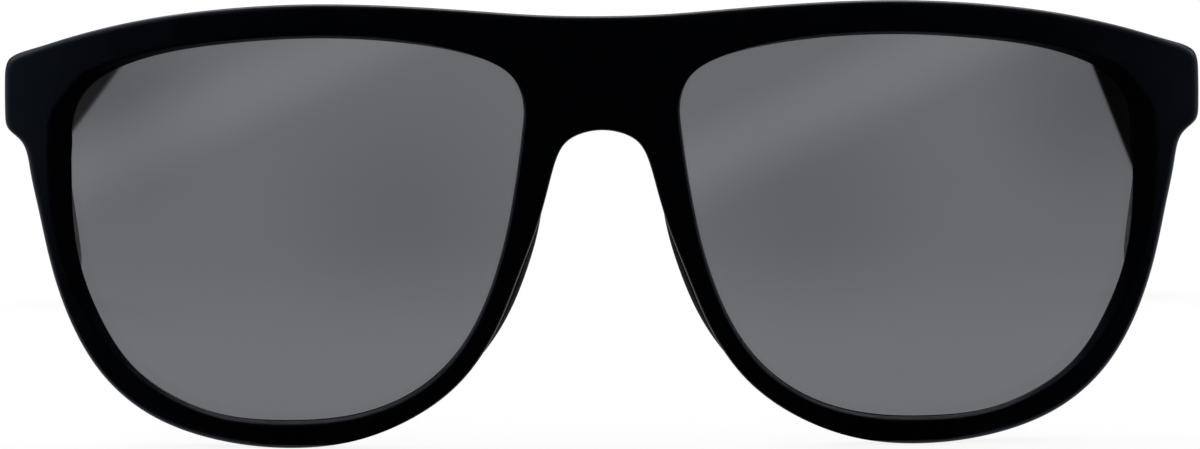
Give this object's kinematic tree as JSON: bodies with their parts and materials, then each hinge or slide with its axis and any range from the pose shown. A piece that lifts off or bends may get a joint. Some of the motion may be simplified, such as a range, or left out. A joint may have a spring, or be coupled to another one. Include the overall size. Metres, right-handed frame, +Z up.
{
  "type": "square sunglasses",
  "caption": "Square plastic sunglasses with a straight brow, grey lenses, nose pads and folding temples on barrel hinges.",
  "frame": {"origin": "on the table, under the middle of the box round the open sunglasses", "axes": "+X to the viewer's right along the front, +Y from the front towards the temple tips, +Z up"},
  "size_m": [0.1466, 0.1422, 0.0546],
  "materials": {
    "frame_plastic": "satin black moulded plastic",
    "temple_plastic": "satin black moulded plastic",
    "lens_grey": "polished grey tinted plastic, see-through",
    "pad_rubber": "soft matt black",
    "hinge_metal": "satin nickel silver",
    "screw_metal": "bright turned steel",
    "wire_metal": "drawn wire"
  },
  "bodies": {
    "front": {"front_frame": "frame_plastic", "lens_left": "lens_grey", "lens_right": "lens_grey", "nose_pad_left": "pad_rubber", "nose_pad_right": "pad_rubber", "front_hinge_left": "hinge_metal", "front_hinge_right": "hinge_metal", "hinge_screw_left": "screw_metal", "hinge_screw_right": "screw_metal"},
    "left_temple": {"temple_left": "temple_plastic", "temple_hinge_left": "hinge_metal", "temple_hinge_screws_left": "screw_metal", "core_wire_left": "wire_metal"},
    "right_temple": {"temple_right": "temple_plastic", "temple_hinge_right": "hinge_metal", "temple_hinge_screws_right": "screw_metal", "core_wire_right": "wire_metal"}
  },
  "joints": [
    {"name": "left_temple_fold", "type": "hinge", "parent": "front", "child": "left_temple", "pos_m": [-0.0675, -0.0534, 0.0428], "axis": [0, 0, -1], "range_deg": [0, 90]},
    {"name": "right_temple_fold", "type": "hinge", "parent": "front", "child": "right_temple", "pos_m": [0.0675, -0.0534, 0.0428], "axis": [0, 0, 1], "range_deg": [0, 84]}
  ]
}
